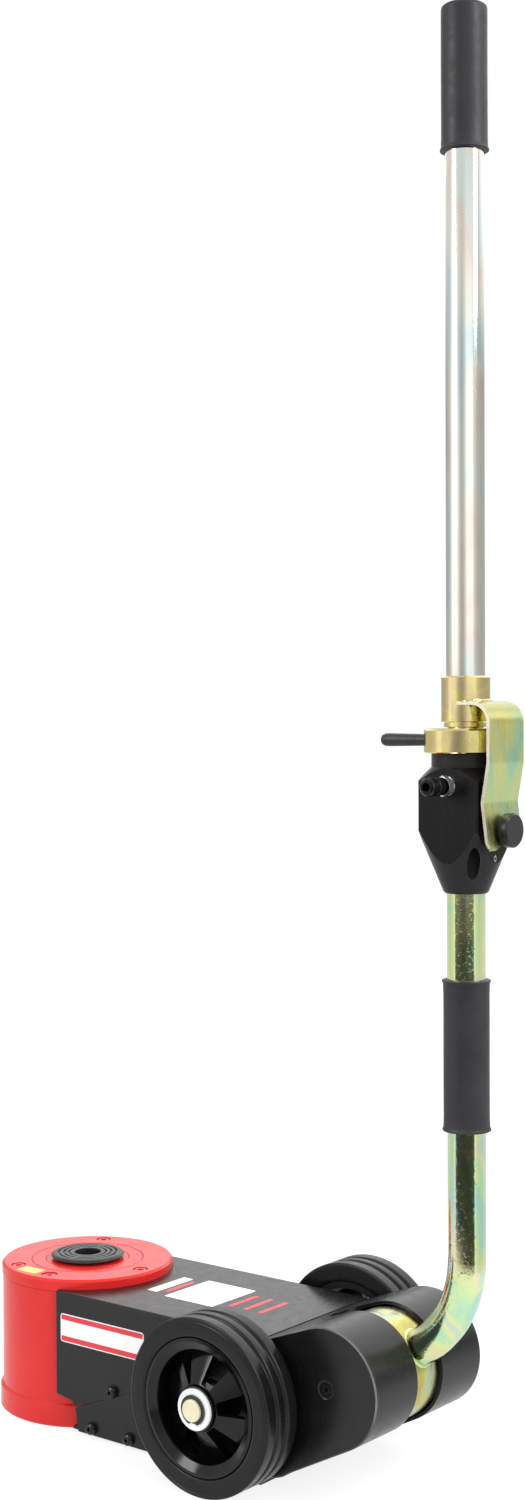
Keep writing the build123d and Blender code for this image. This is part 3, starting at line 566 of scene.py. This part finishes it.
def tyre_profile():
    """Solid rubber tyre: stepped side faces, three ribs and two round-bottomed grooves.

    Close pairs of points along a straight run keep its shading flat.
    """
    points = [(RIM_R + 0.5, TYRE_IN + 2.4, 0), (RIM_R + 1.0, TYRE_IN + 0.3, 0.6), (65.0, TYRE_IN, 0),
              (67.0, TYRE_IN, 0), (76.6, TYRE_IN, 0), (77.2, TYRE_IN, 0), (TYRE_R, TYRE_IN + 0.6, 1.6),
              (TYRE_R, TYRE_IN + 4.0, 0)]
    for middle in GROOVES:
        points += [(TYRE_R - 0.1, middle - 2.6, 1.2), (TYRE_R - 2.6, middle - 0.9, 0.7),
                   (TYRE_R - 2.6, middle + 0.9, 0.7), (TYRE_R - 0.1, middle + 2.6, 1.2)]
    points += [(TYRE_R, TYRE_OUT - 4.6, 0), (TYRE_R, TYRE_OUT - 1.0, 2.2), (77.0, TYRE_OUT - 0.35, 0.4),
               (76.4, TYRE_OUT - 0.8, 0.3), (75.8, TYRE_OUT - 0.3, 0.3), (74.6, TYRE_OUT - 0.1, 0),
               (73.6, TYRE_OUT - 0.05, 0), (66.0, TYRE_OUT, 0), (64.8, TYRE_OUT - 0.05, 0),
               (RIM_R + 1.4, TYRE_OUT - 0.5, 0.8), (RIM_R + 0.5, TYRE_OUT - 2.6, 0)]
    return rounded(points)


def add_tyre(side, word):
    """Tyre on one wheel; its ribs and shoulders are a little glossier than its sides."""
    def on_axle(r, d, t):
        return (AXLE_X + r * math.cos(t), side * d, AXLE_Z + r * math.sin(t))

    tyre = lathe("tyre_tread_" + word, tyre_profile(), on_axle, MATERIALS["tyre"], TYRE_SEGMENTS)
    tyre.data.materials.append(MATERIALS["tread"])
    for face in tyre.data.polygons:
        face.material_index = 1 if abs(face.normal.y) < SIDE_FACE else 0
    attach(tyre, "wheel_" + word)
    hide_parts("tyre_" + word)


SIDES = ((1, "left"), (-1, "right"))
for side, word in SIDES:
    add_tyre(side, word)


# ------------------------------------------------------------------ grips

HANDLE_X = -456.5
PIPE_R = 16.9
GRIP_R = 20.2
LIP_R = 21.4
GRIP_GAP = 0.05             # between a grip and the pipe in it


def grip_wave(r, d, t):
    """Hand-fitted rubber: its outside is a little out of round."""
    if r < PIPE_R + 0.6:
        return 0.0
    return 0.06 * math.sin(3 * t + d * 0.05) + 0.05 * math.sin(7 * t + d * 0.021)


def upright(r, d, t):
    """Point at height d, turned by t round the handle's axis."""
    return (HANDLE_X + r * math.cos(t), r * math.sin(t), d)


def lip(z, way):
    """Rolled lip at a grip's end; way is +1 where the grip carries on upwards."""
    return [(PIPE_R + GRIP_GAP, z, 0), (LIP_R - 2.0, z, 0.6), (LIP_R - 0.1, z + way * 0.5, 0.8),
            (LIP_R, z + way * 1.6, 0.8), (GRIP_R + 0.3, z + way * 3.6, 1.6)]


LOWER_GRIP = (329.6, 462.4)
TOP_GRIP = (1181.4, 1308.8)
PIPE_END = TOP_GRIP[1] - 7.0
FIRST_STEP = 12.0           # above a grip's lower end


def up_side(bottom, rise, count):
    """Points up a grip's side, close enough for its slight waves to show."""
    return [(GRIP_R, bottom + FIRST_STEP + k * rise, 0) for k in range(1, count + 1)]


def add_grip(name, profile, node, corner_steps=4):
    """Rubber grip turned from its outline, in place of the CAD's node."""
    grip = lathe(name, rounded(profile, corner_steps), upright, MATERIALS["grip"], 96, grip_wave)
    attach(grip, "handle")
    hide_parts(node)


low, high = LOWER_GRIP
lower_profile = lip(low, 1) + [(GRIP_R, low + FIRST_STEP, 6)] + up_side(low, 4.4, 23)
lower_profile += [(GRIP_R, high - FIRST_STEP, 6)] + lip(high, -1)[::-1]
add_grip("grip_sleeve_lower", lower_profile, "lower_grip")

low, high = TOP_GRIP
top_profile = lip(low, 1) + [(GRIP_R, low + FIRST_STEP, 6)] + up_side(low, 4.8, 20)
top_profile += [(GRIP_R, high - 1.6, 7.5), (11.0, high - 0.4, 3), (0.02, high - 0.02, 0),
                (0.02, PIPE_END + 0.2, 0), (PIPE_R + GRIP_GAP, PIPE_END + 0.2, 0)]
add_grip("grip_sleeve_top", top_profile, "top_grip", 6)


# ------------------------------------------------------------------ weld beads

BEAD_AROUND = 10
BEAD_SIDE = Vector((0.31, 0.17, 0.93))      # any direction that no bead runs along


def bead_ring(here, along, radius):
    """Ring of points round a bead's path."""
    side = along.cross(BEAD_SIDE).normalized()
    other = along.cross(side)
    angles = [2 * math.pi * k / BEAD_AROUND for k in range(BEAD_AROUND)]
    return [tuple(here + (side * math.cos(a) + other * math.sin(a)) * radius) for a in angles]


def ring_faces(i, j, around):
    """Faces between two rings of points, number i and number j."""
    pairs = [(k, (k + 1) % around) for k in range(around)]
    return [(i * around + k, j * around + k, j * around + m, i * around + m) for k, m in pairs]


def end_caps(last, around):
    """Faces that close the first ring and the last."""
    return [tuple(reversed(range(around))), tuple(last * around + k for k in range(around))]


def bead(name, path, radius, pitch, closed, material):
    """Weld bead along a path, with the overlapping ripples that a welder leaves."""
    verts, faces = [], []
    count = len(path)
    length = 0.0
    for i, point in enumerate(path):
        here = Vector(point)
        ahead = Vector(path[(i + 1) % count]) if closed or i + 1 < count else here
        behind = Vector(path[i - 1]) if closed or i > 0 else here
        if i:
            length += (here - Vector(path[i - 1])).length
        ripple = 1.0 + 0.16 * abs(math.sin(math.pi * length / pitch)) + 0.05 * math.sin(length * 1.7)
        taper = 1.0 if closed else min(1.0, 0.25 + 0.3 * min(i, count - 1 - i))
        verts += bead_ring(here, (ahead - behind).normalized(), radius * ripple * taper)
    for i in range(count if closed else count - 1):
        faces += ring_faces(i, (i + 1) % count, BEAD_AROUND)
    if not closed:
        faces += end_caps(count - 1, BEAD_AROUND)
    piece = build(name, verts, faces, material, 60.0)
    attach(piece, "handle")


DRUM_X, DRUM_Z, DRUM_R = -363.3, 103.7, 50.0
TUBE_DIRECTION = Vector((-0.8554, 0.0, 0.5180))     # the handle's tube leaves the drum this way
TUBE_SIDE = Vector((0.5180, 0.0, 0.8554))
BEAD_OFF = 0.2                                      # a bead's middle stands clear of both parts


def drum_weld(points=150):
    """Where the tube's outside meets the drum's."""
    path = []
    for i in range(points):
        t = 2 * math.pi * i / points
        off = (PIPE_R + BEAD_OFF) * math.cos(t)
        out = math.sqrt((DRUM_R + BEAD_OFF) ** 2 - off ** 2)
        spot = TUBE_DIRECTION * out + TUBE_SIDE * off
        path.append((DRUM_X + spot.x, (PIPE_R + BEAD_OFF) * math.sin(t), DRUM_Z + spot.z))
    return path


COLLAR_R = 21.6
STRAP_WELD_Z = 705.4
STRAP_WELD = (118, 124)     # degrees: its start and how far it runs round the collar


def strap_weld(points=70):
    """Along the strap's top end, round the back of the collar."""
    start, run = STRAP_WELD
    path = []
    for i in range(points):
        t = math.radians(start + run * i / (points - 1))
        path.append((HANDLE_X + COLLAR_R * math.cos(t), COLLAR_R * math.sin(t), STRAP_WELD_Z))
    return path


bead("weld_tube_to_drum", drum_weld(), 1.25, 2.1, True, MATERIALS["yellow_tube"])
bead("weld_strap_to_collar", strap_weld(), 1.3, 2.3, False, MATERIALS["yellow_ring"])


# ------------------------------------------------------------------ return spring

COIL_R = 26.0
COIL_TURNS = 5
COIL_BOTTOM = 48.0
COIL_RISE = 55.0
WIRE_R = 2.2
PUMP_X = -190.0


def coil_spring(name, steps=60, around=12):
    """Round-wire spring, drawn ring by ring along its helix."""
    verts, faces = [], []
    total = COIL_TURNS * steps
    for i in range(total + 1):
        turn = 2 * math.pi * i / steps
        middle = COIL_BOTTOM + COIL_RISE * i / total
        for k in range(around):
            angle = 2 * math.pi * k / around
            r = COIL_R + WIRE_R * math.cos(angle)
            height = middle + WIRE_R * math.sin(angle)
            verts.append((PUMP_X + r * math.cos(turn), r * math.sin(turn), height))
    for i in range(total):
        faces += ring_faces(i, i + 1, around)
    faces += end_caps(total, around)
    return build(name, verts, faces, MATERIALS["steel"], 60.0)


spring = coil_spring("return_spring")
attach(spring, "chassis")
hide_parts("piston_spring")
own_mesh(spring)


# ------------------------------------------------------------------ printed panels

DECK_Z = 134.9
LID_Z = 144.0
SIDE_Y = 82.7
FILM = 0.12                 # thickness of a printed panel
FILM_GAP = 0.02             # under it
STRIPE = 0.20               # thickness of a stripe that lies over a panel


def panel(name, low, high, corner, place, material, thick=FILM):
    """Thin film with rounded corners; place(a, b, height) gives the point."""
    (a0, b0), (a1, b1) = low, high
    outline = rounded([(a0, b0, corner), (a1, b0, corner), (a1, b1, corner), (a0, b1, corner)], 5)
    count = len(outline)
    verts = [place(a, b, FILM_GAP) for a, b in outline] + [place(a, b, thick) for a, b in outline]
    faces = [tuple(range(count)), tuple(range(2 * count - 1, count - 1, -1))]
    for k in range(count):
        m = (k + 1) % count
        faces.append((k, m, count + m, count + k))
    piece = build(name, verts, faces, material)
    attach(piece, "chassis")


def on_deck(a, b, h):
    """Point h above the chassis cover's top."""
    return (a, b, DECK_Z + h)


def on_lid(a, b, h):
    """Point h above the cylinder's top cover."""
    return (a, b, LID_Z + h)


def add_side_panels(side, word):
    """White panel with a red stripe along its top and bottom, on one side of the chassis."""
    def on_side(a, b, h):
        return (a, side * (SIDE_Y + h), b)

    red = MATERIALS["red_print"]
    panel("side_panel_" + word, (-150, 86.5), (-42, 114), 3, on_side, MATERIALS["white_print"])
    panel("side_stripe_low_" + word, (-149, 87.5), (-43, 92.5), 1, on_side, red, STRIPE)
    panel("side_stripe_high_" + word, (-149, 108), (-43, 113), 1, on_side, red, STRIPE)


for side, word in SIDES:
    add_side_panels(side, word)

panel("deck_panel", (-192, -34), (-132, 33), 2, on_deck, MATERIALS["white_print"])
panel("deck_stripe_front", (-117, -28), (-105, 27), 1.5, on_deck, MATERIALS["white_print"])
for number, x in enumerate((-124, -204, -222, -240)):
    panel("deck_bar_%d" % number, (x - 2.8, -21), (x + 2.8, 21), 1, on_deck, MATERIALS["red_print"])
panel("lid_panel", (-1, 62), (24, 77), 1, on_lid, MATERIALS["yellow_print"])


# ------------------------------------------------------------------ stage

FLOOR_HALF = 14.0
FLOOR_GLOW = 0.62           # the floor's own light as the object receives it
FLOOR_GLOW_SEEN = 0.82      # and as the camera sees it
JACK_MIDDLE = (-0.22, 0.0, 0.0)
NEAR_FLOOR = (0.70, 0.88)   # past this distance from the jack, reflections see the room instead


def add_floor():
    """Plain pale floor."""
    mesh = bpy.data.meshes.new("floor")
    half = FLOOR_HALF
    corners = [(-half, -half, 0), (half, -half, 0), (half, half, 0), (-half, half, 0)]
    mesh.from_pydata(corners, [], [(0, 1, 2, 3)])
    floor = link_mesh("floor", mesh)
    n = Nodes("pale_floor")
    n.colour(n.ramp(n.noise(3, 3), [(0.3, (0.25, 0.25, 0.25)), (0.7, (0.27, 0.27, 0.27))]))
    n.roughness(n.spread(n.noise(12, 3), 0.85, 0.95))
    n.value("Specular IOR Level", 0.0)
    n.bsdf.inputs["Emission Color"].default_value = (1.0, 1.0, 1.0, 1.0)
    path = n.node("ShaderNodeLightPath")
    glow = n.spread(path.outputs["Is Camera Ray"], FLOOR_GLOW, FLOOR_GLOW_SEEN, 0.0, 1.0)
    n.link(glow, n.bsdf.inputs["Emission Strength"])
    far = n.node("ShaderNodeVectorMath", operation="DISTANCE")
    n.link(n.node("ShaderNodeNewGeometry").outputs["Position"], far.inputs[0])
    far.inputs[1].default_value = JACK_MIDDLE
    open_floor = n.spread(far.outputs["Value"], 0.0, 1.0, *NEAR_FLOOR)
    unseen = n.maths("SUBTRACT", 1.0, path.outputs["Is Camera Ray"])
    mixer = n.node("ShaderNodeMixShader")
    n.link(n.maths("MULTIPLY", open_floor, unseen), mixer.inputs["Fac"])
    n.link(n.bsdf.outputs["BSDF"], mixer.inputs[1])
    n.link(n.node("ShaderNodeBsdfTransparent").outputs["BSDF"], mixer.inputs[2])
    n.link(mixer.outputs["Shader"], n.tree.nodes["Material Output"].inputs["Surface"])
    floor.data.materials.append(n.mat)


def add_area(name, at, toward, size, power):
    """Rectangular lamp that faces a point."""
    data = bpy.data.lights.new(name, "AREA")
    data.shape = "RECTANGLE"
    data.size, data.size_y = size
    data.energy = power
    obj = bpy.data.objects.new(name, data)
    bpy.context.scene.collection.objects.link(obj)
    obj.location = at
    obj.rotation_euler = (Vector(toward) - Vector(at)).to_track_quat("-Z", "Y").to_euler()
    return obj


class Sky(Nodes):
    """Same builder on a world's node tree."""

    def __init__(self, name):
        self.world = bpy.data.worlds.new(name)
        self.world.use_nodes = True
        self.tree = self.world.node_tree
        self.coord = self.tree.nodes.new("ShaderNodeTexCoord").outputs["Generated"]

    def round_from(self, bearing, flat):
        """0 opposite a bearing and 1 straight at it, whatever the height."""
        dot = self.node("ShaderNodeVectorMath", operation="DOT_PRODUCT")
        self.link(self.coord, dot.inputs[0])
        dot.inputs[1].default_value = bearing
        return self.spread(self.maths("DIVIDE", dot.outputs["Value"], flat), 0.0, 1.0, -1.0, 1.0)


# Brightness round the room, by the cosine of the angle from a bearing (ramp place 0 is opposite the
# bearing, 1 is straight at it): overhead, above the horizon and below it.
ROOM_TOP = [(0.0, 1.85), (0.30, 0.90), (0.60, 0.80), (1.0, 0.80)]
ROOM_HIGH = [(0.0, 0.45), (0.24, 0.45), (0.46, 0.52), (0.64, 0.75), (0.72, 1.22), (0.93, 1.25),
             (0.965, 0.90), (1.0, 0.50)]
ROOM_LOW = [(0.0, 0.85), (0.45, 0.74), (0.66, 0.82), (0.745, 1.10), (0.775, 0.08), (0.9, 0.05),
            (1.0, 0.04)]
HIGH_BEARING = (-0.224, 0.974, 0.0)
LOW_BEARING = (-0.358, 0.934, 0.0)
HORIZON = (-0.11, 0.03)     # heights over which the lower walls turn into the upper ones
CEILING = (0.16, 0.27)      # and the upper ones into what is overhead


def add_light():
    """Soft room with a bright and a dark side, two large lamps and a fill."""
    n = Sky("studio")
    height = n.along(n.coord, "Z")
    flat = n.maths("SQRT", n.maths("SUBTRACT", 1.0001, n.maths("MULTIPLY", height, height)))
    high_place = n.round_from(HIGH_BEARING, flat)
    low_place = n.round_from(LOW_BEARING, flat)
    high = n.ramp(high_place, ROOM_HIGH)
    low = n.ramp(low_place, ROOM_LOW)
    walls = n.mix(n.spread(height, 0.0, 1.0, *HORIZON), low, high)
    room = n.mix(n.spread(height, 0.0, 1.0, *CEILING), walls, n.ramp(high_place, ROOM_TOP))
    path = n.node("ShaderNodeLightPath")
    colour = n.mix(path.outputs["Is Camera Ray"], room, (1.0, 1.0, 1.0))
    background = n.tree.nodes["Background"]
    n.link(colour, background.inputs["Color"])
    background.inputs["Strength"].default_value = 1.0
    bpy.context.scene.world = n.world
    add_area("key_left", (0.9, 2.2, 1.7), (-0.2, 0, 0.1), (0.9, 1.4), 30)
    add_area("top_rear", (-2.2, -0.3, 1.9), (-0.3, 0, 0.1), (0.8, 1.2), 26)
    fill = add_area("fill_rear", (-2.2, 0.5, 0.9), (-0.1, 0, 0.1), (0.8, 0.8), 20)
    fill.visible_glossy = False


add_camera()
add_floor()
add_light()
bpy.context.scene.view_settings.view_transform = "Standard"
